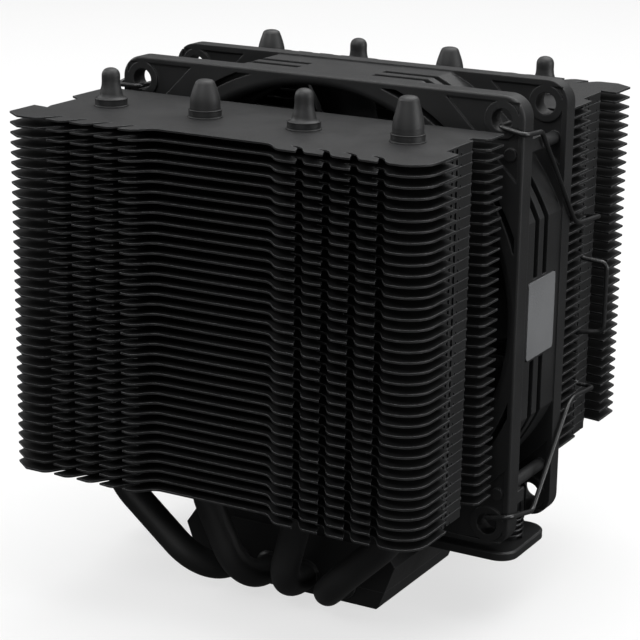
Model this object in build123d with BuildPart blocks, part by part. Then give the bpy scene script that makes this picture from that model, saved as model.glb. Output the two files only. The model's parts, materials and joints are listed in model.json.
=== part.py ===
from build123d import *
import math
import os

# Twin tower CPU cooler with a 92 mm fan between the towers.  Millimetres.
# Origin: centre of the contact face of the base.  X runs across the towers, Y along the airflow
# (front tower at -Y, rear tower at +Y), Z up away from the processor.

# ---- driving dimensions ----------------------------------------------------------------------
HEIGHT = 111.0              # contact face to the tallest tip of the heat pipes

# fins
FIN_COUNT = 37
FIN_PITCH = 2.02
FIN_THICK = 0.4
FIN_TOP = 102.4             # upper face of the top fin
FIN_INNER = 14.8            # inner edge of a fin, measured from the middle of the cooler
FIN_MID = 46.8              # outer edge of a fin in its straight middle stretch
FIN_TOOTH = 50.3            # outer edge of the barbs
FIN_NOTCH = 46.2            # bottom of the notch behind a barb
MID_HALF = 11.5             # half length of the straight middle stretch
TOOTH_FIRST = 17.1          # first notch, from the middle
TOOTH_PITCH = 5.6
TOOTH_COUNT = 4
BARB_REACH = 1.7            # how far a barb leans over its notch
TAB_SIDE = 43.2             # side walls made by the folded tabs
COLLAR_RISE = 1.5
COLLAR_WALL = 0.22
FIN_GAP = FIN_PITCH - FIN_THICK

# heat pipes
PIPE_R = 3.0
PIPE_FIT = 0.04             # solder gap round a pipe
PIPE_Y = 31.3               # rows of pipes in the towers
PIPE_TOWER_PITCH = 22.2
PIPE_BASE_PITCH = 8.5
PIPE_BASE_Z = 4.0
PIPE_BASE_REACH = 28.0      # where the pipes begin to turn up
PIPE_TURN_Z = 24.0          # where the pipes become upright
PIPE_LOW_BEND = 11.0
PIPE_HIGH_BEND = 14.0

# base
BASE_DEPTH = 33.0
BASE_FOOT = 21.5            # half width at the contact face
BASE_WAIST = 25.3           # half width where it is widest
BASE_WAIST_Z = 10.0
BASE_SHOULDER = 22.9        # half width at the top
BASE_TOP = 13.5

# mounting bar
BAR_LENGTH = 95.6
BAR_WIDTH = 19.6
BAR_THICK = 1.8
BAR_CORNER = 4.0
BAR_SCREW_X = 18.5
MOUNT_X = 43.2             # spring screws, from the middle
BAR_TOP = BASE_TOP + BAR_THICK

# spring screws
SCREW_R = 1.5
SLEEVE_R = 2.0
SPRING_R = 2.7              # radius of the spring to the middle of its wire
SPRING_WIRE = 0.6
SPRING_TURNS = 3.5
SPRING_TOP = 20.6
SCREW_HEAD_R = 3.2
SCREW_HEAD_TOP = 26.8
SCREW_TIP = 10.6
RING_THICK = 0.6
RING_R = 3.2
GROOVE_R = 1.15             # neck that holds the retaining ring
RECESS_WIDTH = 0.9          # cross recess of a head
RECESS_LENGTH = 3.8
RECESS_DEPTH = 2.0

# fan
FAN_SIZE = 92.0
FAN_DEPTH = 25.0
FAN_X = 1.8
FAN_Y = 1.3
FAN_Z = 63.0
FLANGE = 4.2
FAN_CORNER = 4.5
FAN_BORE_R = 43.6
BARREL_R = 49.9
BARREL_FLAT = 45.6          # flat sides of the barrel, from the fan axis
HOLE_PITCH = 82.5
HOLE_R = 2.2
HUB_R = 18.5
HUB_WALL = 1.4
BLADE_COUNT = 9
BLADE_TIP_R = 42.7
SHAFT_R = 1.5
STRUT_COUNT = 4
STRUT_ANGLE = 22
STRUT_WIDTH = 3.0

# wire clips
WIRE_R = 0.5

FAN_FRONT = FAN_Y - FAN_DEPTH / 2
FAN_REAR = FAN_Y + FAN_DEPTH / 2
TOOTH_XS = [TOOTH_FIRST + i * TOOTH_PITCH for i in range(TOOTH_COUNT)]
PIPE_TOWER_XS = [(i - 1.5) * PIPE_TOWER_PITCH for i in range(4)]
PIPE_BASE_XS = [(i - 1.5) * PIPE_BASE_PITCH for i in range(4)]

os.makedirs("parts", exist_ok=True)


def save(part, name):
    part.label = name
    export_step(part, f"parts/{name}.step")


# ---- fins ------------------------------------------------------------------------------------
def hooked_teeth():
    """Outer edge of a fin from its middle to its +X corner: blunt teeth with thin slits behind their ends."""
    start = (MID_HALF, -FIN_MID)
    for notch in TOOTH_XS:
        crest = notch + 0.4 if notch == TOOTH_FIRST else notch - TOOTH_PITCH + 6.0
        swell(start, (crest, -FIN_TOOTH))
        Polyline((crest, -FIN_TOOTH), (notch + 3.1, -FIN_TOOTH), (notch + 2.0, -FIN_NOTCH - 1.5),
                 (notch, -FIN_NOTCH - 0.3), (notch + 0.2, -FIN_NOTCH), (notch + 1.2, -FIN_NOTCH - 0.2))
        start = (notch + 1.2, -FIN_NOTCH - 0.2)
    swell(start, (TOOTH_XS[-1] + 6.0, -FIN_TOOTH))


def barbed_teeth():
    """Outer edge of a fin from its middle to its -X corner: pointed barbs that lean over their notches."""
    start = (-MID_HALF, -FIN_MID)
    for notch in TOOTH_XS:
        crest = notch + 0.4 if notch == TOOTH_FIRST else notch - TOOTH_PITCH + 4.8
        swell(start, (-crest, -FIN_TOOTH))
        Polyline((-crest, -FIN_TOOTH), (-notch - BARB_REACH, -FIN_TOOTH + 0.3), (-notch, -FIN_NOTCH))
        start = (-notch, -FIN_NOTCH)
    swell(start, (-TOOTH_XS[-1] - 4.8, -FIN_TOOTH))


def swell(start, end):
    """S-shaped swell of the outer edge, level at both ends."""
    middle = (start[0] + end[0]) / 2
    Bezier(start, (middle, start[1]), (middle, end[1]), end)


RIGHT_CREST = TOOTH_XS[-1] + 6.0
LEFT_CREST = TOOTH_XS[-1] + 4.8

with BuildPart() as fin:
    with BuildSketch():
        with BuildLine():
            Line((-MID_HALF, -FIN_MID), (MID_HALF, -FIN_MID))
            hooked_teeth()
            barbed_teeth()
            # right side: round corner, tab wall, hook notch, inner lobe
            Line((RIGHT_CREST, -FIN_TOOTH), (41.4, -FIN_TOOTH))
            ThreePointArc((41.4, -FIN_TOOTH), (44.9, -48.6), (46.4, -45.0))
            Polyline((46.4, -45.0), (46.4, -37.0), (TAB_SIDE, -35.6), (TAB_SIDE, -24.0),
                     (41.9, -23.4), (41.9, -21.9), (44.6, -21.3), (45.3, -20.4), (45.3, -FIN_INNER))
            Line((45.3, -FIN_INNER), (-45.8, -FIN_INNER))
            # left side: pointed corner, hook notch, tab wall, inner lobe
            Polyline((-LEFT_CREST, -FIN_TOOTH), (-42.4, -FIN_TOOTH), (-46.3, -47.4), (-46.3, -39.4),
                     (-42.6, -40.0), (-TAB_SIDE, -38.2), (-TAB_SIDE, -28.6), (-45.8, -27.1),
                     (-45.8, -FIN_INNER))
        make_face()
        with Locations(*[(x, -PIPE_Y) for x in PIPE_TOWER_XS]):
            Circle(PIPE_R + PIPE_FIT, mode=Mode.SUBTRACT)
    extrude(amount=-FIN_THICK)
    # collars drawn up round the pipes
    with BuildSketch():
        with Locations(*[(x, -PIPE_Y) for x in PIPE_TOWER_XS]):
            Circle(PIPE_R + PIPE_FIT + COLLAR_WALL)
            Circle(PIPE_R + PIPE_FIT, mode=Mode.SUBTRACT)
    extrude(amount=COLLAR_RISE)
    # folded tabs: a broad one that makes the side wall, and two locking fingers
    with BuildSketch(Plane.XY.offset(-FIN_THICK)):
        for side, broad, fingers in ((1, -27.3, (-33.6, -31.7)), (-1, -35.2, (-31.1, -29.3))):
            with Locations((side * (TAB_SIDE - FIN_THICK / 2), broad)):
                Rectangle(FIN_THICK, 5.8)
            with Locations(*[(side * (TAB_SIDE - FIN_THICK / 2), y) for y in fingers]):
                Rectangle(FIN_THICK, 0.9)
    extrude(amount=-(FIN_GAP - 0.06))
    # small lock hole at the foot of each broad tab
    with BuildSketch(Plane.XY.offset(-FIN_PITCH + 0.06)):
        with Locations((TAB_SIDE - FIN_THICK / 2, -28.9), (-TAB_SIDE + FIN_THICK / 2, -36.6)):
            Rectangle(2 * FIN_THICK, 0.5)
    extrude(amount=0.5, mode=Mode.SUBTRACT)

FIN_LEVELS = [FIN_TOP - i * FIN_PITCH for i in range(FIN_COUNT)]

with BuildPart() as front_fin_stack:
    with Locations(*[Location((0, 0, z)) for z in FIN_LEVELS]):
        add(fin.part)
save(front_fin_stack.part, "front_fin_stack")

with BuildPart() as rear_fin_stack:
    with Locations(*[Location((0, 0, z), (0, 0, 180)) for z in FIN_LEVELS]):
        add(fin.part)
save(rear_fin_stack.part, "rear_fin_stack")


# ---- heat pipes ------------------------------------------------------------------------------
PIPE_END = FIN_TOP + COLLAR_RISE      # where the round pipe ends and its closed tip begins
FRONT_TIPS = (110.0, 109.8, 110.2, HEIGHT)
REAR_TIP = 110.0
NIPPLE_R = 1.85


def pipe_tip(x, y, top, narrow):
    """Closed end of a pipe: swaged to a nipple with a round head, or spun to a bullet."""
    rise = top - PIPE_END
    with BuildSketch(Plane((x, y, PIPE_END), x_dir=(1, 0, 0), z_dir=(0, -1, 0))) as profile:
        with BuildLine():
            if narrow:
                Bezier((PIPE_R, 0), (2.7, 0.15), (2.42, 0.35), (2.3, 1.0))
                Bezier((2.3, 1.0), (2.14, 1.9), (NIPPLE_R, 2.4), (NIPPLE_R, 3.4))
                Line((NIPPLE_R, 3.4), (NIPPLE_R, rise - 1.7))
                Bezier((NIPPLE_R, rise - 1.7), (NIPPLE_R, rise - 0.5), (1.05, rise), (0, rise))
            else:
                Line((PIPE_R, 0), (PIPE_R, 1.2))
                Bezier((PIPE_R, 1.2), (PIPE_R, 2.3), (2.68, 3.4), (1.95, rise - 0.8))
                Bezier((1.95, rise - 0.8), (1.75, rise - 0.2), (1.2, rise), (0, rise))
            Polyline((0, rise), (0, 0), (PIPE_R, 0))
        make_face()
    revolve(profile.sketch, axis=Axis((x, y, 0), (0, 0, 1)))


for i, (tower_x, base_x) in enumerate(zip(PIPE_TOWER_XS, PIPE_BASE_XS)):
    with BuildPart() as pipe:
        with BuildLine() as route:
            FilletPolyline(
                (tower_x, -PIPE_Y, PIPE_END), (tower_x, -PIPE_Y, PIPE_TURN_Z),
                (base_x, -PIPE_BASE_REACH, PIPE_BASE_Z), (base_x, PIPE_BASE_REACH, PIPE_BASE_Z),
                (tower_x, PIPE_Y, PIPE_TURN_Z), (tower_x, PIPE_Y, PIPE_END),
                radius=[PIPE_HIGH_BEND, PIPE_LOW_BEND, PIPE_LOW_BEND, PIPE_HIGH_BEND])
        with BuildSketch(Plane((tower_x, -PIPE_Y, PIPE_END), x_dir=(1, 0, 0), z_dir=(0, 0, -1))):
            Circle(PIPE_R)
        sweep(path=route.wires()[0])
        pipe_tip(tower_x, -PIPE_Y, FRONT_TIPS[i], narrow=i % 2 == 0)
        pipe_tip(tower_x, PIPE_Y, REAR_TIP, narrow=i % 2 == 1)
    print(f"heat pipe {i + 1}: length {route.wires()[0].length:.1f} mm, volume {pipe.part.volume:.1f}")
    save(pipe.part, f"heat_pipe_{i + 1}")


# ---- base ------------------------------------------------------------------------------------
def half_width(z):
    return BASE_FOOT + (BASE_WAIST - BASE_FOOT) * z / BASE_WAIST_Z


with BuildPart() as cold_plate:
    with BuildSketch(Plane.XZ):
        with BuildLine():
            foot, split = half_width(0.4), half_width(PIPE_BASE_Z)
            Polyline((-BASE_FOOT + 0.3, 0), (BASE_FOOT - 0.3, 0), (foot, 0.4), (split, PIPE_BASE_Z),
                     (-split, PIPE_BASE_Z), (-foot, 0.4), close=True)
        make_face()
        with Locations(*[(x, PIPE_BASE_Z) for x in PIPE_BASE_XS]):
            Circle(PIPE_R + PIPE_FIT, mode=Mode.SUBTRACT)
    extrude(amount=BASE_DEPTH / 2, both=True)
save(cold_plate.part, "cold_plate")

with BuildPart() as base_block:
    with BuildSketch(Plane.XZ):
        with BuildLine():
            Polyline((-half_width(4.0), 4.0), (half_width(4.0), 4.0), (BASE_WAIST, BASE_WAIST_Z),
                     (BASE_SHOULDER, BASE_TOP), (-BASE_SHOULDER, BASE_TOP), (-BASE_WAIST, BASE_WAIST_Z),
                     close=True)
        make_face()
        with Locations(*[(x, PIPE_BASE_Z) for x in PIPE_BASE_XS]):
            Circle(PIPE_R + PIPE_FIT, mode=Mode.SUBTRACT)
    extrude(amount=BASE_DEPTH / 2, both=True)
    with Locations(*[(x, 0, BASE_TOP) for x in (-BAR_SCREW_X, BAR_SCREW_X)]):
        Hole(SCREW_R + 0.05, depth=7.5)
save(base_block.part, "base_block")

# ---- mounting bar and its screws -------------------------------------------------------------
with BuildPart() as mounting_bar:
    with BuildSketch(Plane.XY.offset(BASE_TOP)):
        RectangleRounded(BAR_LENGTH, BAR_WIDTH, BAR_CORNER)
        with Locations((-MOUNT_X, 0), (MOUNT_X, 0)):
            Circle(SLEEVE_R + 0.05, mode=Mode.SUBTRACT)
    extrude(amount=BAR_THICK)
    chamfer(mounting_bar.faces().sort_by(Axis.Z)[-1].outer_wire().edges(), 0.3)
    with Locations(*[(x, 0, BAR_TOP) for x in (-BAR_SCREW_X, BAR_SCREW_X)]):
        CounterSinkHole(SCREW_R + 0.05, 3.0, depth=BAR_THICK)
save(mounting_bar.part, "mounting_bar")

with BuildPart() as bar_screws:
    for x in (-BAR_SCREW_X, BAR_SCREW_X):
        with BuildSketch(Plane((x, 0, 0), x_dir=(1, 0, 0), z_dir=(0, -1, 0))) as half:
            with BuildLine():
                Polyline((0, BAR_TOP - 0.1), (2.85, BAR_TOP - 0.1), (SCREW_R, BAR_TOP - 0.1 - 2.85 + SCREW_R),
                         (SCREW_R, 6.8), (1.1, 6.4), (0, 6.4), close=True)
            make_face()
        revolve(half.sketch, axis=Axis((x, 0, 0), (0, 0, 1)))
    # cross recess
    with BuildSketch(Plane.XY.offset(BAR_TOP - 0.1)):
        with Locations(*[(x, 0) for x in (-BAR_SCREW_X, BAR_SCREW_X)]):
            Rectangle(3.0, 0.7)
            Rectangle(0.7, 3.0)
    extrude(amount=-1.2, mode=Mode.SUBTRACT)
save(bar_screws.part, "bar_screws")


# ---- spring screws ---------------------------------------------------------------------------
RING_TOP = BASE_TOP - 0.05
TIP_CHAMFER = 0.3
FLUTE_COUNT = 12

for side, name in ((-1, "left"), (1, "right")):
    x = side * MOUNT_X
    with BuildPart() as spring_screw:
        with BuildSketch(Plane((x, 0, 0), x_dir=(1, 0, 0), z_dir=(0, -1, 0))) as half:
            with BuildLine():
                Polyline((0, SCREW_HEAD_TOP), (SCREW_HEAD_R - 0.4, SCREW_HEAD_TOP),
                         (SCREW_HEAD_R, SCREW_HEAD_TOP - 0.4), (SCREW_HEAD_R, SPRING_TOP),
                         (SLEEVE_R, SPRING_TOP), (SLEEVE_R, RING_TOP), (GROOVE_R, RING_TOP),
                         (GROOVE_R, RING_TOP - RING_THICK - 0.1), (SCREW_R, RING_TOP - RING_THICK - 0.1),
                         (SCREW_R, SCREW_TIP + TIP_CHAMFER), (SCREW_R - TIP_CHAMFER, SCREW_TIP),
                         (0, SCREW_TIP), close=True)
            make_face()
        revolve(half.sketch, axis=Axis((x, 0, 0), (0, 0, 1)))
        # cross recess and grip flutes of the head
        with BuildSketch(Plane.XY.offset(SCREW_HEAD_TOP)):
            with Locations((x, 0)):
                Rectangle(RECESS_LENGTH, RECESS_WIDTH)
                Rectangle(RECESS_WIDTH, RECESS_LENGTH)
        extrude(amount=-RECESS_DEPTH, mode=Mode.SUBTRACT)
        with BuildSketch(Plane.XY.offset(SPRING_TOP + 1.0)):
            with Locations((x, 0)):
                with PolarLocations(SCREW_HEAD_R + 0.1, FLUTE_COUNT):
                    Circle(0.4)
        extrude(amount=SCREW_HEAD_TOP - SPRING_TOP, mode=Mode.SUBTRACT)
    save(spring_screw.part, f"{name}_spring_screw")

    with BuildPart() as retaining_ring:
        with BuildSketch(Plane.XY.offset(RING_TOP - 0.05)):
            with Locations((x, 0)):
                Circle(RING_R)
                Circle(GROOVE_R + 0.05, mode=Mode.SUBTRACT)
            with Locations((x + side * RING_R / 2, 0)):
                Rectangle(RING_R, 2 * GROOVE_R - 0.3, mode=Mode.SUBTRACT)
        extrude(amount=-RING_THICK + 0.05)
    save(retaining_ring.part, f"{name}_retaining_ring")

    low, high = BAR_TOP + SPRING_WIRE / 2 + 0.05, SPRING_TOP - SPRING_WIRE / 2 - 0.05
    with BuildPart() as spring:
        with BuildLine() as coil:
            Helix(pitch=(high - low) / SPRING_TURNS, height=high - low, radius=SPRING_R, center=(x, 0, low))
        with BuildSketch(Plane((x + SPRING_R, 0, low), x_dir=(1, 0, 0), z_dir=(0, 1, 0))):
            Circle(SPRING_WIRE / 2)
        sweep(path=coil.wires()[0], is_frenet=True)
    save(spring.part, f"{name}_spring")


# ---- fan frame -------------------------------------------------------------------------------
def fan_plane(y):
    """Plane across the fan axis at y, looking along the airflow: x to the right, y up."""
    return Plane((FAN_X, y, FAN_Z), x_dir=(1, 0, 0), z_dir=(0, -1, 0))


def side_plane(side, reach):
    """Plane over the left (-1) or right (1) side of the fan, reach from its axis, facing outwards."""
    return Plane((FAN_X + side * reach, FAN_Y, FAN_Z), x_dir=(0, side, 0), z_dir=(side, 0, 0))


HALF = FAN_SIZE / 2
LIP_R = 1.6                 # rounding of the inlet and the outlet
SLOT_INNER_R = 47.2         # curved slots in the flanges, round the air passage
SLOT_OUTER_R = 48.4
RIM = 1.2                   # plain rim round the recessed corners and the slots
CORNER_CUT = 74.0           # the recessed corner triangles lie where |x| + |z| is more than this
CORNER_DEPTH = 0.5
BOSS_R = 3.7
PILLAR_R = 1.3              # posts between the flanges
PILLAR_X, PILLAR_Z = 43.2, 34.6
MOTOR_MOUNT = 2.2           # thickness of the disc that carries the motor
TUBE_R = 4.6                # tube that holds the bearing
BEARING_R = 3.2
BADGE_WIDTH = 13.0
BADGE_HEIGHT = 16.0
BADGE_DEPTH = 0.6
SLIT_YS = (-3.3, 1.1)       # curved slits in the barrel: their middles along the airflow
SLIT_WIDTH = 2.2
SLIT_BEGIN, SLIT_END = 10.6, 35.5
SLIT_FLOOR_R = 44.6
LUG_WIDTH = 3.2             # rests for the wire clips, beside the front flange
LUG_HEIGHT = 2.6
LUG_Z = 36.1

with BuildPart() as fan_frame:
    # barrel, flat on its four sides
    with BuildSketch(fan_plane(FAN_REAR)):
        Circle(BARREL_R)
        Rectangle(2 * BARREL_FLAT, 2 * BARREL_FLAT, mode=Mode.INTERSECT)
        Circle(FAN_BORE_R, mode=Mode.SUBTRACT)
    extrude(amount=FAN_DEPTH)
    # square flanges
    for y in (FAN_FRONT + FLANGE, FAN_REAR):
        with BuildSketch(fan_plane(y)):
            RectangleRounded(FAN_SIZE, FAN_SIZE, FAN_CORNER)
            Circle(FAN_BORE_R, mode=Mode.SUBTRACT)
        extrude(amount=FLANGE)
    for face in (fan_frame.faces().sort_by(Axis.Y)[0], fan_frame.faces().sort_by(Axis.Y)[-1]):
        fillet(face.outer_wire().edges(), 0.5)
    for face in (fan_frame.faces().sort_by(Axis.Y)[0], fan_frame.faces().sort_by(Axis.Y)[-1]):
        fillet(face.inner_wires()[0].edges(), LIP_R)
    # posts between the flanges
    with BuildSketch(fan_plane(FAN_REAR - FLANGE)):
        with GridLocations(2 * PILLAR_X, 2 * PILLAR_Z, 2, 2):
            Circle(PILLAR_R)
    extrude(amount=FAN_DEPTH - 2 * FLANGE)
    # curved slots as deep as the flanges
    for y in (FAN_FRONT + FLANGE, FAN_REAR):
        with BuildSketch(fan_plane(y)):
            Circle(SLOT_OUTER_R)
            Circle(SLOT_INNER_R, mode=Mode.SUBTRACT)
            Rectangle(FAN_SIZE - 2 * RIM, FAN_SIZE - 2 * RIM, mode=Mode.INTERSECT)
        extrude(amount=FLANGE, mode=Mode.SUBTRACT)
    with BuildSketch(fan_plane(FAN_REAR)):
        with GridLocations(HOLE_PITCH, HOLE_PITCH, 2, 2):
            Circle(HOLE_R)
    extrude(amount=FAN_DEPTH, mode=Mode.SUBTRACT)
    # recessed corner triangles in the outer faces and the inner face of the rear flange,
    # with a boss round each hole
    reach = HALF - RIM
    for y, depth in ((FAN_FRONT, -CORNER_DEPTH), (FAN_REAR, CORNER_DEPTH),
                     (FAN_REAR - FLANGE, -CORNER_DEPTH)):
        with BuildSketch(fan_plane(y)):
            for turn in range(4):
                with BuildLine(Rot(0, 0, 90 * turn)):
                    Polyline((reach, reach), (CORNER_CUT - reach, reach), (reach, CORNER_CUT - reach),
                             close=True)
                make_face()
            with GridLocations(HOLE_PITCH, HOLE_PITCH, 2, 2):
                Circle(BOSS_R, mode=Mode.SUBTRACT)
            with GridLocations(2 * PILLAR_X, 2 * PILLAR_Z, 2, 2):
                Circle(PILLAR_R, mode=Mode.SUBTRACT)
        extrude(amount=depth, mode=Mode.SUBTRACT)
    # recess for the badge in each flat side
    for side in (-1, 1):
        with BuildSketch(side_plane(side, BARREL_FLAT)):
            Rectangle(BADGE_WIDTH + 0.2, BADGE_HEIGHT + 0.2)
        extrude(amount=-BADGE_DEPTH, mode=Mode.SUBTRACT)
    # pairs of curved slits above and below each flat, and beside the top and bottom flats
    for turn in range(4):
        for lean in (-1, 1):
            for y in SLIT_YS:
                with BuildSketch(fan_plane(FAN_Y + y + SLIT_WIDTH / 2)):
                    with BuildLine(Rot(0, 0, 90 * turn + lean * (SLIT_BEGIN + SLIT_END) / 2)):
                        half = (SLIT_END - SLIT_BEGIN) / 2
                        CenterArc((0, 0), BARREL_R + 1, -half, 2 * half)
                        CenterArc((0, 0), SLIT_FLOOR_R, -half, 2 * half)
                        PolarLine((0, 0), BARREL_R + 1, -half)
                        PolarLine((0, 0), BARREL_R + 1, half)
                    make_face()
                    Circle(SLIT_FLOOR_R, mode=Mode.SUBTRACT)
                extrude(amount=SLIT_WIDTH, mode=Mode.SUBTRACT)
    # rests for the wire clips
    for z, reach in ((-LUG_Z, 2.8), (LUG_Z, 5.0)):
        with BuildSketch(fan_plane(FAN_FRONT + FLANGE + reach)):
            with Locations((-HALF + LUG_WIDTH / 2, z), (HALF - LUG_WIDTH / 2, z)):
                Rectangle(LUG_WIDTH, LUG_HEIGHT)
        extrude(amount=reach)
    # motor mount and its struts on the rear side
    with BuildSketch(fan_plane(FAN_REAR)):
        Circle(HUB_R + 0.5)
        with PolarLocations(0, STRUT_COUNT, start_angle=STRUT_ANGLE):
            with Locations(((HUB_R + FAN_BORE_R) / 2, 0)):
                Rectangle(FAN_BORE_R - HUB_R + 2.0, STRUT_WIDTH)
    extrude(amount=MOTOR_MOUNT)
    # bearing tube
    with BuildSketch(fan_plane(FAN_REAR - MOTOR_MOUNT)):
        Circle(TUBE_R)
    extrude(amount=14.0)
    with BuildSketch(fan_plane(FAN_REAR - 0.8)):
        Circle(BEARING_R)
    extrude(amount=16.0, mode=Mode.SUBTRACT)
save(fan_frame.part, "fan_frame")

for side, name in ((-1, "left"), (1, "right")):
    with BuildPart() as badge:
        with BuildSketch(side_plane(side, BARREL_FLAT - BADGE_DEPTH + 0.05)):
            RectangleRounded(BADGE_WIDTH, BADGE_HEIGHT, 0.8)
        extrude(amount=BADGE_DEPTH + 0.15)
    save(badge.part, f"{name}_badge")

# ---- fan motor: stator -----------------------------------------------------------------------
BOARD_FRONT = FAN_REAR - MOTOR_MOUNT - 0.1
STATOR_REAR = BOARD_FRONT - 2.6
STATOR_DEPTH = 7.0
SHOE_OUTER_R = 13.4         # pole shoes of the stator
SHOE_INNER_R = 11.8
SHOE_GAP = 4.0              # between neighbouring shoes
POLE_WIDTH = 3.0
COIL_R = 7.6                # where a coil begins
COIL_WIDTH = 3.8

with BuildPart() as bearing:
    with BuildSketch(fan_plane(FAN_REAR - 2.4)):
        Circle(BEARING_R)
        Circle(SHAFT_R + 0.03, mode=Mode.SUBTRACT)
    extrude(amount=13.0)
save(bearing.part, "bearing")

with BuildPart() as circuit_board:
    with BuildSketch(fan_plane(BOARD_FRONT)):
        Circle(15.5)
        Circle(TUBE_R + 0.05, mode=Mode.SUBTRACT)
    extrude(amount=1.0)
save(circuit_board.part, "circuit_board")

with BuildPart() as stator_core:
    with BuildSketch(fan_plane(STATOR_REAR)):
        Circle(SHOE_OUTER_R)
        Circle(SHOE_INNER_R, mode=Mode.SUBTRACT)
        with PolarLocations(0, 4, start_angle=45):
            with Locations((SHOE_OUTER_R, 0)):
                Rectangle(2 * SHOE_OUTER_R - 2 * 7.0, SHOE_GAP, mode=Mode.SUBTRACT)
        Circle(7.0)
        with PolarLocations(0, 4):
            with Locations((9.0, 0)):
                Rectangle(6.0, POLE_WIDTH)
        Circle(TUBE_R + 0.05, mode=Mode.SUBTRACT)
    extrude(amount=STATOR_DEPTH)
save(stator_core.part, "stator_core")

with BuildPart() as stator_coils:
    for a in range(4):
        outward = Vector(1, 0, 0).rotate(Axis.Y, -90 * a)
        middle = Vector(FAN_X, STATOR_REAR - STATOR_DEPTH / 2, FAN_Z) + outward * COIL_R
        with BuildSketch(Plane(middle, x_dir=(0, 1, 0), z_dir=outward)):
            RectangleRounded(STATOR_DEPTH + 2.4, POLE_WIDTH + 2.4, 1.1)
            Rectangle(STATOR_DEPTH + 0.1, POLE_WIDTH + 0.1, mode=Mode.SUBTRACT)
        extrude(amount=COIL_WIDTH)
save(stator_coils.part, "stator_coils")

# ---- fan motor: rotor ------------------------------------------------------------------------
HUB_FRONT = FAN_FRONT + 1.6
HUB_REAR = FAN_REAR - MOTOR_MOUNT - 0.8
YOKE_R = HUB_R - HUB_WALL

BLADE_SECTIONS = (          # radius, chord, pitch angle, sweep angle
    (HUB_R - 0.6, 15.0, 44, 0),
    (31.0, 21.0, 33, 5),
    (BLADE_TIP_R + 3.0, 25.0, 26, 14),
)
BLADE_THICK = 1.3
HUB_FACE = 1.8              # thickness of the closed front of the hub


def blade_plane(radius, heading, pitch):
    """Plane across a blade at a radius, its x along the chord."""
    angle = math.radians(heading)
    outward = Vector(math.cos(angle), 0, math.sin(angle))
    tangent = Vector(-math.sin(angle), 0, math.cos(angle))
    chord = tangent * math.cos(math.radians(pitch)) + Vector(0, 1, 0) * math.sin(math.radians(pitch))
    return Plane(Vector(FAN_X, FAN_Y - 1.6, FAN_Z) + outward * radius, x_dir=chord, z_dir=outward)


with BuildPart() as fan_rotor:
    for b in range(BLADE_COUNT):
        for radius, chord, pitch, sweep_angle in BLADE_SECTIONS:
            with BuildSketch(blade_plane(radius, 360 / BLADE_COUNT * b + sweep_angle, pitch)):
                SlotOverall(chord, BLADE_THICK)
        loft()
    with BuildSketch(fan_plane(FAN_REAR)):
        Circle(BLADE_TIP_R)
    extrude(amount=FAN_DEPTH, mode=Mode.INTERSECT)
    with BuildSketch(fan_plane(HUB_REAR)):
        Circle(HUB_R)
    extrude(amount=HUB_REAR - HUB_FRONT)
    fillet(fan_rotor.faces().sort_by(Axis.Y)[0].edges(), 1.6)
    with BuildSketch(fan_plane(HUB_REAR)):
        Circle(YOKE_R)
    extrude(amount=HUB_REAR - HUB_FRONT - HUB_FACE, mode=Mode.SUBTRACT)
    # shaft seat
    with BuildSketch(fan_plane(HUB_FRONT + HUB_FACE + 2.0)):
        Circle(3.4)
    extrude(amount=2.1)
    with BuildSketch(fan_plane(HUB_FRONT + HUB_FACE + 2.0)):
        Circle(SHAFT_R + 0.01)
    extrude(amount=3.0, mode=Mode.SUBTRACT)
save(fan_rotor.part, "fan_rotor")

with BuildPart() as rotor_yoke:
    with BuildSketch(fan_plane(HUB_REAR - 0.4)):
        Circle(YOKE_R - 0.02)
        Circle(YOKE_R - 1.0, mode=Mode.SUBTRACT)
    extrude(amount=12.0)
save(rotor_yoke.part, "rotor_yoke")

with BuildPart() as magnet_ring:
    with BuildSketch(fan_plane(HUB_REAR - 1.0)):
        Circle(YOKE_R - 1.03)
        Circle(13.9, mode=Mode.SUBTRACT)
    extrude(amount=11.0)
save(magnet_ring.part, "magnet_ring")

with BuildPart() as fan_shaft:
    with BuildSketch(fan_plane(FAN_REAR - 2.6)):
        Circle(SHAFT_R)
    extrude(amount=FAN_REAR - 2.6 - (HUB_FRONT + 1.0))
    fillet(fan_shaft.edges().filter_by(GeomType.CIRCLE), 0.3)
save(fan_shaft.part, "fan_shaft")


# ---- wire clips ------------------------------------------------------------------------------
def half_clip(side, up, front_leg, rear_leg, middle_z, lobe_x, notch, grip):
    """Points of the upper (1) or lower (-1) half of a clip, from its hook in the fan to its grip.

    front_leg: heights from the fan axis of the hook, of the corner beside the front flange and of
    the bend where the leg leaves the fan, and that bend's y; middle_z: height of the clip's middle;
    rear_leg: y and height from the middle of the leg's end, the same of the bend behind it, and
    the height in the notch; lobe_x: x beside the inner lobe of the fins;
    notch: x and y in the notch of the fins; grip: x and y of the grip.
    """
    hook_z, corner_z, leg_z, leg_y = front_leg
    end_y, end_z, bend_y, bend_z, notch_z = rear_leg
    hole_x = FAN_X + side * HOLE_PITCH / 2
    fan_side = FAN_X + side * (HALF + WIRE_R + 0.3)
    front = FAN_FRONT - WIRE_R - 0.5
    return [
        (hole_x, FAN_FRONT + 3.6, FAN_Z + up * hook_z), (hole_x, front, FAN_Z + up * hook_z),
        (fan_side, front, FAN_Z + up * corner_z), (fan_side, leg_y, FAN_Z + up * leg_z),
        (lobe_x, end_y, middle_z + up * end_z), (lobe_x, bend_y, middle_z + up * bend_z),
        (notch[0], notch[1], middle_z + up * notch_z), (notch[0], notch[1], middle_z + up * 8.2),
        (grip[0], grip[1], middle_z + up * 7.5),
    ]


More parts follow.
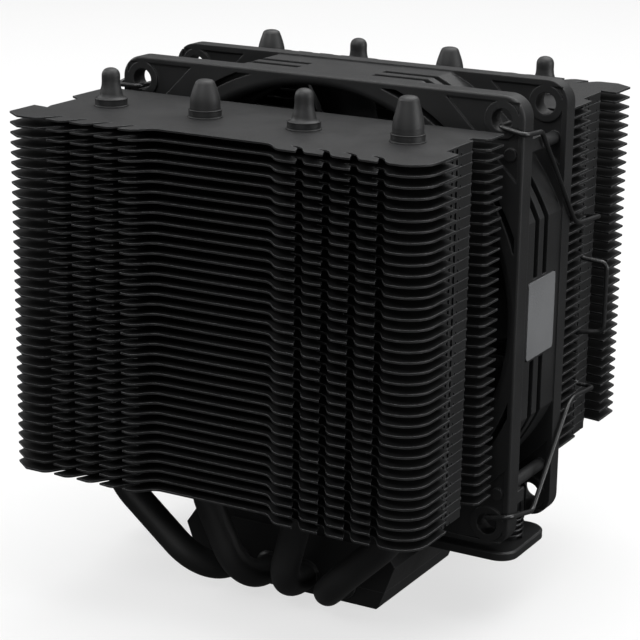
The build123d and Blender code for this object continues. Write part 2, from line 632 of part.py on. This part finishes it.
CLIP_BENDS = [1.2, 1.4, 2.0, 6.5, 1.5, 1.0, 1.0, 1.5]       # bend radii, from the hook to the grip
CLIPS = {
    "left": (-1, ((39.9, 39.8, 40.4, -8.0), (10.5, 19.4, 22.8, 18.9, 17.6)),
             ((39.9, 39.8, 40.4, -8.0), (10.5, 19.4, 22.8, 18.9, 17.6)),
             FAN_Z, -46.4, (-42.9, 22.7), (-48.6, 23.9)),
    "right": (1, ((40.1, 39.0, 38.5, -4.6), (15.0, 18.9, 28.2, 17.9, 17.2)),
              ((39.7, 38.4, 40.7, -1.2), (16.6, 18.9, 29.7, 19.9, 19.6)),
              FAN_Z - 2.6, 48.5, (44.3, 28.9), (49.9, 30.0)),
}

for name, (side, upper_legs, lower_legs, middle_z, *shape) in CLIPS.items():
    upper = half_clip(side, 1, *upper_legs, middle_z, *shape)
    lower = half_clip(side, -1, *lower_legs, middle_z, *shape)
    with BuildPart() as clip:
        with BuildLine() as route:
            FilletPolyline(*upper, *reversed(lower), radius=CLIP_BENDS + CLIP_BENDS[::-1])
        with BuildSketch(Plane(upper[0], x_dir=(1, 0, 0), z_dir=(0, -1, 0))):
            Circle(WIRE_R)
        sweep(path=route.wires()[0], transition=Transition.ROUND)
    print(f"{name} clip: wire length {route.wires()[0].length:.1f}, "
          f"volume over section {clip.part.volume / (math.pi * WIRE_R ** 2):.1f}")
    save(clip.part, f"{name}_wire_clip")
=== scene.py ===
import json
import math

import bmesh
import bpy
from mathutils import Matrix, Vector


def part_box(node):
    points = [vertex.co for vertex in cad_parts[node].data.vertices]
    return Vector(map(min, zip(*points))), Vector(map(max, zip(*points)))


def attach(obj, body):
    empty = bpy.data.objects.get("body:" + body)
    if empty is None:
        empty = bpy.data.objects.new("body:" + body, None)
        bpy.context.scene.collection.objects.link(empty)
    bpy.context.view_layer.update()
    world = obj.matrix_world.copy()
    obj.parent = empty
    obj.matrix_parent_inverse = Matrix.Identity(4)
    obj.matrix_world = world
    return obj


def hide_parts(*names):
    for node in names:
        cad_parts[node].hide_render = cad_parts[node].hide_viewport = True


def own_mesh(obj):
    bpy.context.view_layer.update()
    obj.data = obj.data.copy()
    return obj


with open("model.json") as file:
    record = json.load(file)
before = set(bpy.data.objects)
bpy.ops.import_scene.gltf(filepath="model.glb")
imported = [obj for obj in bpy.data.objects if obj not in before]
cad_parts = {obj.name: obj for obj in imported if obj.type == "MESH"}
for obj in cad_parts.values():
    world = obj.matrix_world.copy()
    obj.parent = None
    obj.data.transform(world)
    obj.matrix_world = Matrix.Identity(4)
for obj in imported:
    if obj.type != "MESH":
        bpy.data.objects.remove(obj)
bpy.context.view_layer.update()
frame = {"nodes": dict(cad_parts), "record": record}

nodes = frame["nodes"]
slots = {row["node"]: row["material_slot"] for row in frame["record"]["subparts"]}

MM = 0.001

# ---- camera ------------------------------------------------------------------------------------
SENSOR = 36.0
LENS = 118.22
CAMERA_PLACE = Vector((206.37, -373.05, 178.94)) * MM
CAMERA_AZIMUTH = math.radians(29.223)
CAMERA_ELEVATION = math.radians(16.201)
CAMERA_ROLL = math.radians(0.813)


def make_camera():
    data = bpy.data.cameras.new("camera")
    data.sensor_width = SENSOR
    data.lens = LENS
    data.clip_start = 0.01
    camera = bpy.data.objects.new("camera", data)
    bpy.context.scene.collection.objects.link(camera)
    a, e, r = CAMERA_AZIMUTH, CAMERA_ELEVATION, CAMERA_ROLL
    back = Vector((math.sin(a) * math.cos(e), -math.cos(a) * math.cos(e), math.sin(e)))
    level = Vector((math.cos(a), math.sin(a), 0))
    above = back.cross(level)
    across = level * math.cos(r) + above * math.sin(r)
    upward = above * math.cos(r) - level * math.sin(r)
    turn = Matrix((across, upward, back)).transposed()
    camera.matrix_world = Matrix.Translation(CAMERA_PLACE) @ turn.to_4x4()
    bpy.context.scene.camera = camera


# ---- shader helpers ----------------------------------------------------------------------------
def new_material(name):
    material = bpy.data.materials.new(name)
    material.use_nodes = True
    tree = material.node_tree
    return material, tree, tree.nodes["Principled BSDF"]


def noise(tree, scale, detail=3.0, stretch=(1, 1, 1), seed=0.0):
    """Noise over the object's own coordinates, scale in features per metre."""
    place = tree.nodes.new("ShaderNodeTexCoord")
    mapping = tree.nodes.new("ShaderNodeMapping")
    mapping.inputs["Scale"].default_value = stretch
    mapping.inputs["Location"].default_value = (seed, seed, seed)
    texture = tree.nodes.new("ShaderNodeTexNoise")
    texture.inputs["Scale"].default_value = scale
    texture.inputs["Detail"].default_value = detail
    tree.links.new(place.outputs["Object"], mapping.inputs["Vector"])
    tree.links.new(mapping.outputs["Vector"], texture.inputs["Vector"])
    return texture.outputs["Fac"]


def spread(tree, value, low, high, from_low=0.35, from_high=0.65):
    """Maps from_low..from_high, which is most of the range of a noise, to low..high."""
    node = tree.nodes.new("ShaderNodeMapRange")
    node.inputs["From Min"].default_value = from_low
    node.inputs["From Max"].default_value = from_high
    node.inputs["To Min"].default_value = low
    node.inputs["To Max"].default_value = high
    tree.links.new(value, node.inputs["Value"])
    return node.outputs["Result"]


def mixed(tree, factor, a, b):
    """Mix of two colours, each a tuple or a socket."""
    node = tree.nodes.new("ShaderNodeMix")
    node.data_type = "RGBA"
    tree.links.new(factor, node.inputs["Factor"])
    for socket, colour in ((node.inputs["A"], a), (node.inputs["B"], b)):
        if isinstance(colour, tuple):
            socket.default_value = (*colour, 1)
        else:
            tree.links.new(colour, socket)
    return node.outputs["Result"]


COOLNESS = (1.0, 1.02, 1.05)


def grey(value):
    """A near-neutral black or grey, a touch cool."""
    return tuple(value * c for c in COOLNESS)


def bump(tree, height, strength, distance, after=None):
    node = tree.nodes.new("ShaderNodeBump")
    node.inputs["Strength"].default_value = strength
    node.inputs["Distance"].default_value = distance
    tree.links.new(height, node.inputs["Height"])
    if after is not None:
        tree.links.new(after, node.inputs["Normal"])
    return node.outputs["Normal"]


EDGE_COSINES = (0.75, 0.98)     # between the rounded and the plain normal: on an edge, on a flat face


def edge_mask(tree, radius):
    """1 along edges, 0 on flat faces, and the normal rounded over those edges."""
    bevel = tree.nodes.new("ShaderNodeBevel")
    bevel.samples = 4
    bevel.inputs["Radius"].default_value = radius
    geometry = tree.nodes.new("ShaderNodeNewGeometry")
    dot = tree.nodes.new("ShaderNodeVectorMath")
    dot.operation = "DOT_PRODUCT"
    tree.links.new(bevel.outputs["Normal"], dot.inputs[0])
    tree.links.new(geometry.outputs["Normal"], dot.inputs[1])
    return spread(tree, dot.outputs["Value"], 1.0, 0.0, *EDGE_COSINES), bevel.outputs["Normal"]


def facing(tree, axis, low=0.85, high=0.97):
    """1 where a face looks along the axis, 0 elsewhere."""
    geometry = tree.nodes.new("ShaderNodeNewGeometry")
    dot = tree.nodes.new("ShaderNodeVectorMath")
    dot.operation = "DOT_PRODUCT"
    dot.inputs[1].default_value = axis
    tree.links.new(geometry.outputs["Normal"], dot.inputs[0])
    return spread(tree, dot.outputs["Value"], 0.0, 1.0, low, high)


PATCH_SCALE = 90            # features per metre
DUST_SCALE = 2600
DUST_NOISE = (0.70, 0.78)   # the peaks of the noise that make a speck
DUST_TONE = 0.10
HANDLED_SCALE = 140
PEEL_SCALE = 900
PEEL_HEIGHT = 0.00006


def coated(name, dark, light, rough, grain, edge=None, orange_peel=0.0, metallic=0.0, gloss=0.3,
           specks=0.0):
    """Coating or moulded plastic: patchy tone, grain in bump and roughness, paler edges, dust.

    dark, light: tones of its patches; grain: size in metres; edge: width of its edges and tone of the
    painted highlight on them.
    """
    material, tree, shader = new_material(name)
    patches = spread(tree, noise(tree, PATCH_SCALE, 4), 0.0, 1.0)
    colour = mixed(tree, patches, grey(dark), grey(light))
    if specks:
        dust = spread(tree, noise(tree, DUST_SCALE, 1, seed=11.0), 0.0, specks, *DUST_NOISE)
        colour = mixed(tree, dust, colour, grey(DUST_TONE))
    normal = None
    if edge is not None:
        radius, edge_highlight_tone = edge
        mask, normal = edge_mask(tree, radius)
        # painted highlight: edges take a paler tone, as where light would catch them
        colour = mixed(tree, mask, colour, grey(edge_highlight_tone))
    tree.links.new(colour, shader.inputs["Base Color"])
    fine = noise(tree, 1.0 / grain, 2, seed=3.0)
    handled = spread(tree, noise(tree, HANDLED_SCALE, 3, seed=5.0), -0.03, 0.04)
    roughness = tree.nodes.new("ShaderNodeMath")
    tree.links.new(spread(tree, fine, rough - 0.05, rough + 0.06), roughness.inputs[0])
    tree.links.new(handled, roughness.inputs[1])
    tree.links.new(roughness.outputs["Value"], shader.inputs["Roughness"])
    normal = bump(tree, fine, 0.35, grain * 0.25, normal)
    if orange_peel:
        normal = bump(tree, noise(tree, PEEL_SCALE, 1, seed=7.0), orange_peel, PEEL_HEIGHT, normal)
    tree.links.new(normal, shader.inputs["Normal"])
    shader.inputs["Metallic"].default_value = metallic
    shader.inputs["Specular IOR Level"].default_value = gloss
    return material


METAL_GRAIN_SCALE = 900
METAL_GRAIN_HEIGHT = 0.00002
METAL_SHADE = 0.82          # dark share of a metal's colour


def metal(name, colour, rough):
    """Bare metal with a fine grain."""
    material, tree, shader = new_material(name)
    grain = noise(tree, METAL_GRAIN_SCALE, 3)
    tint = mixed(tree, grain, tuple(c * METAL_SHADE for c in colour), colour)
    tree.links.new(tint, shader.inputs["Base Color"])
    tree.links.new(spread(tree, grain, rough - 0.08, rough + 0.12), shader.inputs["Roughness"])
    tree.links.new(bump(tree, grain, 0.25, METAL_GRAIN_HEIGHT), shader.inputs["Normal"])
    shader.inputs["Metallic"].default_value = 1.0
    return material


SOLDER_MASK = ((0.010, 0.055, 0.028), (0.016, 0.075, 0.036))


def recoloured(material, scale, one, other):
    """Gives a coated material patches of two colours of its own."""
    tree = material.node_tree
    colour = mixed(tree, noise(tree, scale, 1), one, other)
    tree.links.new(colour, tree.nodes["Principled BSDF"].inputs["Base Color"])
    return material


MILLED = ((0.50, 0.49, 0.48), (0.66, 0.65, 0.64))
MILLED_ROUGHNESS = 0.24
MILLING_STRETCH = (0.02, 8, 1)      # long along x, fine along y


def machined_foot(material):
    """Turns the downward face of a coated material into bare metal with fine milling lines."""
    tree = material.node_tree
    shader = tree.nodes["Principled BSDF"]
    mask = facing(tree, (0, 0, -1))
    lines = noise(tree, 600, 2, MILLING_STRETCH, seed=2.0)
    bare = mixed(tree, lines, *MILLED)
    painted = shader.inputs["Base Color"].links[0].from_socket
    tree.links.new(mixed(tree, mask, painted, bare), shader.inputs["Base Color"])
    tree.links.new(mask, shader.inputs["Metallic"])
    dull = shader.inputs["Roughness"].links[0].from_socket
    blend = tree.nodes.new("ShaderNodeMix")
    tree.links.new(mask, blend.inputs["Factor"])
    tree.links.new(dull, blend.inputs["A"])
    blend.inputs["B"].default_value = MILLED_ROUGHNESS
    tree.links.new(blend.outputs["Result"], shader.inputs["Roughness"])
    return material


def make_materials():
    return {
        # the second number of each edge is the tone of a painted highlight along its edges
        "fin_coating": coated("fin_coating", 0.0075, 0.0105, 0.46, 0.00012, edge=(0.00013, 0.150),
                              orange_peel=0.15, specks=0.25),
        "pipe_coating": coated("pipe_coating", 0.0095, 0.0130, 0.50, 0.00015, orange_peel=0.25,
                               gloss=0.34),
        "base_coating": machined_foot(
            coated("base_coating", 0.0095, 0.0125, 0.40, 0.00015, edge=(0.0003, 0.045))),
        "bar_coating": coated("bar_coating", 0.0090, 0.0125, 0.38, 0.00015, edge=(0.0003, 0.060)),
        "fastener": coated("fastener", 0.012, 0.020, 0.34, 0.0001, edge=(0.00015, 0.06),
                           metallic=0.6),
        "spring_steel": coated("spring_steel", 0.020, 0.032, 0.30, 0.0001, metallic=0.7),
        "fan_plastic": coated("fan_plastic", 0.0090, 0.0120, 0.46, 0.00022,
                              edge=(0.00035, 0.035), specks=0.15),
        "rotor_plastic": coated("rotor_plastic", 0.0070, 0.0090, 0.36, 0.0002),
        "badge": coated("badge", 0.120, 0.140, 0.34, 0.00012, edge=(0.0002, 0.12)),
        "bearing_brass": metal("bearing_brass", (0.62, 0.48, 0.25), 0.30),
        "board": recoloured(coated("board", 0.012, 0.016, 0.40, 0.0002), 500, *SOLDER_MASK),
        "motor_steel": metal("motor_steel", (0.42, 0.42, 0.43), 0.35),
        "copper_wire": metal("copper_wire", (0.60, 0.27, 0.12), 0.28),
        "magnet": coated("magnet", 0.050, 0.065, 0.60, 0.0002),
        "clip_wire": coated("clip_wire", 0.012, 0.020, 0.30, 0.0001, metallic=0.3, gloss=0.5),
    }


def dress_nodes(materials):
    for name, piece in nodes.items():
        piece.data.materials.clear()
        piece.data.materials.append(materials[slots[name]])


# ---- mesh helpers ------------------------------------------------------------------------------
def finish_piece(name, mesh_data, slot_name, body, smooth_angle=35):
    """Makes an object of a bmesh, smooth but for sharp edges, dressed and riding on its body."""
    bmesh.ops.recalc_face_normals(mesh_data, faces=mesh_data.faces)
    mesh = bpy.data.meshes.new(name)
    mesh_data.to_mesh(mesh)
    mesh_data.free()
    for polygon in mesh.polygons:
        polygon.use_smooth = True
    mesh.set_sharp_from_angle(angle=math.radians(smooth_angle))
    mesh.materials.append(materials[slot_name])
    piece = bpy.data.objects.new(name, mesh)
    bpy.context.scene.collection.objects.link(piece)
    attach(piece, body)
    return piece


def skin(mesh_data, rings, closed_path=False):
    """Joins closed rings of points into a surface; an open path gets a cap at each end."""
    made = [[mesh_data.verts.new(point) for point in ring] for ring in rings]
    count = len(made[0])
    pairs = list(zip(made, made[1:]))
    if closed_path:
        pairs.append((made[-1], made[0]))
    for one, other in pairs:
        for i in range(count):
            j = (i + 1) % count
            mesh_data.faces.new((one[i], one[j], other[j], other[i]))
    if not closed_path:
        mesh_data.faces.new(made[0][::-1])
        mesh_data.faces.new(made[-1])


def lathe(mesh_data, profile, centre, axis, steps=96):
    """Turns a closed profile of (radius, distance along the axis) round the axis through centre."""
    along = Vector(axis).normalized()
    side = along.orthogonal().normalized()
    other = along.cross(side)
    rings = []
    for k in range(steps):
        angle = 2 * math.pi * k / steps
        out = side * math.cos(angle) + other * math.sin(angle)
        rings.append([Vector(centre) + out * r + along * d for r, d in profile])
    skin(mesh_data, rings, closed_path=True)


def tube(mesh_data, points, radius, sides=14):
    """Round wire along points, with its ring turned as little as possible from point to point."""
    tangents = []
    for i in range(len(points)):
        before, after = points[max(i - 1, 0)], points[min(i + 1, len(points) - 1)]
        tangents.append((after - before).normalized())
    normal = tangents[0].orthogonal().normalized()
    rings = []
    for point, tangent in zip(points, tangents):
        normal = (normal - tangent * normal.dot(tangent)).normalized()
        other = tangent.cross(normal)
        rings.append([point + (normal * math.cos(a) + other * math.sin(a)) * radius
                      for a in (2 * math.pi * k / sides for k in range(sides))])
    skin(mesh_data, rings)


def ring_profile(radius, tube_radius, steps=12):
    """Profile of a ring of round section."""
    return [(radius + tube_radius * math.cos(a), tube_radius * math.sin(a))
            for a in (2 * math.pi * k / steps for k in range(steps))]


# ---- spring screws -----------------------------------------------------------------------------
SPRING_WIRE_R = 0.30 * MM
SPRING_R = 2.70 * MM
SPRING_DEAD_TURNS = 0.9     # closed coils at each end
SPRING_DEAD_PITCH = 2.05 * SPRING_WIRE_R
SPRING_ACTIVE_TURNS = 3.0
SPRING_STEPS = 40           # points in a turn
THREAD_PITCH = 0.5 * MM
THREAD_RIDGE = 0.13 * MM
THREAD_ROOT_R = 1.36 * MM   # the ridge's middle where it fades into the screw
THREAD_HEIGHT = 0.12 * MM   # how much farther out it runs between its ends
THREAD_FROM_TIP = 0.45 * MM
THREAD_FROM_RING = 0.25 * MM
THREAD_STEPS = 36           # points in a turn


def node_centre(node):
    low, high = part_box(node)
    return (Vector(low) + Vector(high)) / 2


def make_spring(side):
    """Compression spring with closed ends, between the bar and the head of its screw."""
    low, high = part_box(f"{side}_spring")
    middle = node_centre(f"{side}_spring_screw")
    bottom, top = low[2] + SPRING_WIRE_R, high[2] - SPRING_WIRE_R
    dead_rise = SPRING_DEAD_TURNS * SPRING_DEAD_PITCH
    turns = 2 * SPRING_DEAD_TURNS + SPRING_ACTIVE_TURNS
    steps = int(turns * SPRING_STEPS)
    points = []
    for k in range(steps + 1):
        t = turns * k / steps
        if t < SPRING_DEAD_TURNS:
            z = bottom + dead_rise * t / SPRING_DEAD_TURNS
        elif t > turns - SPRING_DEAD_TURNS:
            z = top - dead_rise * (turns - t) / SPRING_DEAD_TURNS
        else:
            share = (t - SPRING_DEAD_TURNS) / SPRING_ACTIVE_TURNS
            z = bottom + dead_rise + (top - bottom - 2 * dead_rise) * share
        angle = 2 * math.pi * t
        points.append(Vector((middle.x + SPRING_R * math.cos(angle),
                              middle.y + SPRING_R * math.sin(angle), z)))
    mesh_data = bmesh.new()
    tube(mesh_data, points, SPRING_WIRE_R)
    spring = finish_piece(f"{side}_coil_spring", mesh_data, "spring_steel", "root", 60)
    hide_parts(f"{side}_spring")
    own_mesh(spring)


def make_thread(side):
    """Ridge of the thread on the free end of a spring screw."""
    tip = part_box(f"{side}_spring_screw")[0][2]
    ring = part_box(f"{side}_retaining_ring")[0][2]
    middle = node_centre(f"{side}_spring_screw")
    bottom, top = tip + THREAD_FROM_TIP, ring - THREAD_FROM_RING
    turns = (top - bottom) / THREAD_PITCH
    steps = int(turns * THREAD_STEPS)
    points = []
    for k in range(steps + 1):
        angle = 2 * math.pi * turns * k / steps
        fade = min(1.0, 3 * min(k, steps - k) / steps)
        reach = THREAD_ROOT_R + THREAD_HEIGHT * fade
        points.append(Vector((middle.x + reach * math.cos(angle), middle.y + reach * math.sin(angle),
                              bottom + (top - bottom) * k / steps)))
    mesh_data = bmesh.new()
    tube(mesh_data, points, THREAD_RIDGE, sides=8)
    finish_piece(f"{side}_screw_thread_ridge", mesh_data, "fastener", f"{side}_screw", 60)


# ---- collars and solder rings ------------------------------------------------------------------
PIPE_TOWER_XS = [x * MM for x in (-33.3, -11.1, 11.1, 33.3)]
PIPE_BASE_XS = [x * MM for x in (-12.75, -4.25, 4.25, 12.75)]
PIPE_Y = 31.3 * MM
PIPE_BASE_Z = 4.0 * MM
COLLAR_HEIGHT = 1.5 * MM
LIP_R = 3.18 * MM           # rolled lip at the top of a collar
LIP_ROUND = 0.16 * MM
LIP_SINK = 0.05 * MM
ROOT_R = 3.28 * MM          # rounding where a collar rises from its fin
ROOT_ROUND = 0.20 * MM
ROOT_RISE = 0.08 * MM
SOLDER_PROFILE = (          # radius and distance from the base, mm
    (2.95, 0.0), (3.65, 0.0), (3.45, 0.06), (3.22, 0.22), (3.08, 0.50), (2.95, 0.62),
)


def make_collar_lips(tower, y):
    """Rolled lips on the collars of the top fin, and the roundings at their feet."""
    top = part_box(f"{tower}_fin_stack")[1][2]
    foot = top - COLLAR_HEIGHT
    mesh_data = bmesh.new()
    for x in PIPE_TOWER_XS:
        lip = ring_profile(LIP_R, LIP_ROUND)
        lathe(mesh_data, lip, (x, y, top - LIP_SINK), (0, 0, 1), 48)
        root = ring_profile(ROOT_R, ROOT_ROUND)
        lathe(mesh_data, root, (x, y, foot + ROOT_RISE), (0, 0, 1), 48)
    finish_piece(f"{tower}_collar_lips", mesh_data, "fin_coating", "root")


def make_solder_rings():
    """Fillets of solder where the pipes leave the base."""
    half_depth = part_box("base_block")[1][1]
    profile = [(r * MM, d * MM) for r, d in SOLDER_PROFILE]
    mesh_data = bmesh.new()
    for side in (-1, 1):
        for x in PIPE_BASE_XS:
            lathe(mesh_data, profile, (x, side * half_depth, PIPE_BASE_Z), (0, side, 0), 40)
    finish_piece("solder_rings", mesh_data, "base_coating", "root")


# ---- fan rotor ---------------------------------------------------------------------------------
BLADE_COUNT = 9
BLADE_STATIONS = 12         # steps from the hub to the tip
BLADE_ROOT_SINK = 0.6       # how deep a blade starts in the hub, mm
HUB_R = 18.5 * MM
HUB_RIM = 1.6 * MM          # rounding of the hub's front edge
HUB_DIMPLE_R = 7.0 * MM     # shallow middle of the front face
HUB_DIMPLE = 0.35 * MM
HUB_GROOVE_R = (14.0 * MM, 15.75 * MM)
HUB_GROOVE = 0.30 * MM
HUB_WALL = 1.4 * MM
HUB_FACE = 1.8 * MM
SEAT_R = 3.4 * MM           # boss that holds the shaft
SEAT_LENGTH = 2.0 * MM
SHAFT_R = 1.51 * MM
SHAFT_DEPTH = 1.0 * MM      # how far the shaft's bore reaches into the face
CENTRE_MARK_R = 0.4 * MM    # moulding mark in the middle
BLADE_TIP_R = 42.7 * MM
BLADE_SETBACK = 1.6 * MM    # middle of the blades in front of the middle of the fan
BLADE_SHAPE = (             # radius, chord, pitch in degrees, sweep in degrees, thickness
    (17.9, 15.0, 44, 0, 2.3),
    (31.0, 21.0, 33, 5, 1.7),
    (45.7, 25.0, 26, 14, 1.2),
)
CAMBER = 0.07


def blade_section(radius):
    """Chord, pitch, sweep and thickness at a radius in mm, on a smooth curve through BLADE_SHAPE."""
    (r0, *a), (r1, *b), (r2, *c) = BLADE_SHAPE
    w0 = (radius - r1) * (radius - r2) / ((r0 - r1) * (r0 - r2))
    w1 = (radius - r0) * (radius - r2) / ((r1 - r0) * (r1 - r2))
    w2 = (radius - r0) * (radius - r1) / ((r2 - r0) * (r2 - r1))
    return [w0 * p + w1 * q + w2 * s for p, q, s in zip(a, b, c)]


def blade_outline(chord, thickness, steps=12):
    """Cambered aerofoil as points (along the chord, across it) from its middle.

    thickness: half of the greatest thickness, which is a third of the way back.
    """
    upper, lower = [], []
    for k in range(steps + 1):
        s = 0.5 - 0.5 * math.cos(math.pi * k / steps)
        swell = 1.48 * math.sqrt(s) - 0.63 * s - 1.76 * s ** 2 + 1.42 * s ** 3 - 0.49 * s ** 4
        half = thickness * swell
        arch = CAMBER * chord * 4 * s * (1 - s) - CAMBER * chord * 0.5
        upper.append(((s - 0.5) * chord, arch + half))
        lower.append(((s - 0.5) * chord, arch - half))
    return upper + lower[-2:0:-1]


def hub_profile(front, rear):
    """Half section of the hub: centre mark, dimple, ring groove, rounded rim, wall and shaft boss."""
    inner, outer = HUB_GROOVE_R
    slope = 0.35 * MM
    rim = [(HUB_R - HUB_RIM + HUB_RIM * math.sin(a), front + HUB_RIM - HUB_RIM * math.cos(a))
           for a in (math.radians(9 * k) for k in range(11))]
    seat = front + HUB_FACE
    return ([(CENTRE_MARK_R, front + HUB_DIMPLE), (HUB_DIMPLE_R - 0.4 * MM, front + HUB_DIMPLE),
             (HUB_DIMPLE_R, front), (inner, front), (inner + slope, front + HUB_GROOVE),
             (outer - slope, front + HUB_GROOVE), (outer, front)] + rim
            + [(HUB_R, rear), (HUB_R - HUB_WALL, rear), (HUB_R - HUB_WALL, seat), (SEAT_R, seat),
               (SEAT_R, seat + SEAT_LENGTH), (SHAFT_R, seat + SEAT_LENGTH),
               (SHAFT_R, seat - SHAFT_DEPTH), (CENTRE_MARK_R, seat - SHAFT_DEPTH)])


def blade_ring(centre, blade, radius):
    """Section of one blade at a radius in mm, as points in the scene."""
    chord, pitch, sweep, thickness = blade_section(radius)
    heading = math.radians(360 / BLADE_COUNT * blade + sweep)
    outward = Vector((math.cos(heading), 0, math.sin(heading)))
    tangent = Vector((-math.sin(heading), 0, math.cos(heading)))
    lean = math.radians(pitch)
    along = tangent * math.cos(lean) + Vector((0, 1, 0)) * math.sin(lean)
    across = outward.cross(along)
    middle = centre + Vector((0, -BLADE_SETBACK, 0)) + outward * radius * MM
    return [middle + (along * u + across * v) * MM for u, v in blade_outline(chord, thickness / 2)]


def make_rotor(centre):
    """Fan wheel: a hub with a rounded rim and a stepped face, and nine swept blades."""
    low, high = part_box("fan_rotor")
    mesh_data = bmesh.new()
    lathe(mesh_data, hub_profile(low[1] - centre.y, high[1] - centre.y), centre, (0, 1, 0))
    root = HUB_R / MM - BLADE_ROOT_SINK
    span = BLADE_TIP_R / MM - root
    radii = [root + span * k / BLADE_STATIONS for k in range(BLADE_STATIONS + 1)]
    for blade in range(BLADE_COUNT):
        skin(mesh_data, [blade_ring(centre, blade, radius) for radius in radii])
    rotor = finish_piece("fan_wheel", mesh_data, "rotor_plastic", "rotor")
    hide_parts("fan_rotor")


LABEL_R = 16.0 * MM
LABEL_HOLE_R = 1.0 * MM
LABEL_THICK = 0.14 * MM
LABEL_EDGE = 0.10 * MM


def make_motor_label(centre):
    """Plain round label on the back of the motor mount."""
    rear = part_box("fan_frame")[1][1] - centre.y
    face = rear + LABEL_THICK
    profile = [(LABEL_HOLE_R, rear), (LABEL_R, rear), (LABEL_R, rear + LABEL_EDGE),
               (LABEL_R - 0.2 * MM, face), (LABEL_HOLE_R, face)]
    mesh_data = bmesh.new()
    lathe(mesh_data, profile, centre, (0, 1, 0))
    finish_piece("motor_label", mesh_data, "badge", "root")


# ---- floor and light ---------------------------------------------------------------------------
FLOOR_TONES = ((0.185, 0.185, 0.185), (0.20, 0.20, 0.20))
FLOOR_GLOW = 0.66
FLOOR_REACH = 12.0
FLOOR_DROP = 0.0003         # under the contact face, so that the two don't coincide


def make_floor():
    """Pale floor that glows a little and throws no light back on the object."""
    material, tree, shader = new_material("floor")
    tone = mixed(tree, noise(tree, 3, 2), *FLOOR_TONES)
    tree.links.new(tone, shader.inputs["Base Color"])
    shader.inputs["Roughness"].default_value = 0.9
    shader.inputs["Specular IOR Level"].default_value = 0.0
    shader.inputs["Emission Color"].default_value = (1, 1, 1, 1)
    shader.inputs["Emission Strength"].default_value = FLOOR_GLOW
    mesh = bpy.data.meshes.new("floor")
    corners = [(x * FLOOR_REACH, y * FLOOR_REACH, 0) for x, y in ((-1, -1), (1, -1), (1, 1), (-1, 1))]
    mesh.from_pydata(corners, [], [(0, 1, 2, 3)])
    mesh.materials.append(material)
    floor = bpy.data.objects.new("floor", mesh)
    floor.location.z = -FLOOR_DROP
    floor.visible_diffuse = False
    floor.visible_glossy = False
    bpy.context.scene.collection.objects.link(floor)


LIGHT_TARGET = Vector((0, 0, 0.05))


def area_light(name, place, size, power):
    """Rectangular light at a place, turned to the middle of the object."""
    data = bpy.data.lights.new(name, "AREA")
    data.shape = "RECTANGLE"
    data.size, data.size_y = size
    data.energy = power
    light = bpy.data.objects.new(name, data)
    bpy.context.scene.collection.objects.link(light)
    light.location = place
    light.rotation_euler = (LIGHT_TARGET - Vector(place)).to_track_quat("-Z", "Y").to_euler()


WORLD_ABOVE = 1.00
WORLD_BELOW = 0.06
WORLD_DAWN = 0.58           # where the sky begins to brighten, 0.5 being the horizon and 1 the zenith


def make_light():
    """Soft lights overhead, in front and at both sides, in a room that is bright above only."""
    world = bpy.data.worlds.new("world")
    bpy.context.scene.world = world
    world.use_nodes = True
    tree = world.node_tree
    place = tree.nodes.new("ShaderNodeTexCoord")
    axes = tree.nodes.new("ShaderNodeSeparateXYZ")
    ramp = tree.nodes.new("ShaderNodeValToRGB")
    low, high = ramp.color_ramp.elements
    low.position, low.color = WORLD_DAWN, (WORLD_BELOW, WORLD_BELOW, WORLD_BELOW, 1)
    high.position, high.color = 1.0, (WORLD_ABOVE, WORLD_ABOVE, WORLD_ABOVE, 1)
    tree.links.new(place.outputs["Generated"], axes.inputs["Vector"])
    tree.links.new(spread(tree, axes.outputs["Z"], 0.0, 1.0, -1.0, 1.0), ramp.inputs["Fac"])
    tree.links.new(ramp.outputs["Color"], tree.nodes["Background"].inputs["Color"])
    area_light("light_above", (0.15, 0.25, 1.0), (1.2, 1.2), 18)
    area_light("light_right", (1.05, 0.15, 0.22), (0.7, 0.4), 6.5)
    area_light("light_left", (-0.95, -0.1, 0.55), (0.5, 0.6), 4.0)
    area_light("light_front", (-0.15, -0.85, 0.90), (0.8, 0.4), 6.0)
    area_light("light_low", (0.20, -1.10, 0.10), (1.2, 0.25), 1.8)
    bpy.context.scene.view_settings.view_transform = "Standard"


make_camera()
make_floor()
make_light()
materials = make_materials()
dress_nodes(materials)
for side in ("left", "right"):
    make_spring(side)
    make_thread(side)
for tower, y in (("front", -PIPE_Y), ("rear", PIPE_Y)):
    make_collar_lips(tower, y)
make_solder_rings()
shaft = node_centre("fan_shaft")
fan_centre = Vector((shaft.x, node_centre("fan_frame").y, shaft.z))
make_rotor(fan_centre)
make_motor_label(fan_centre)
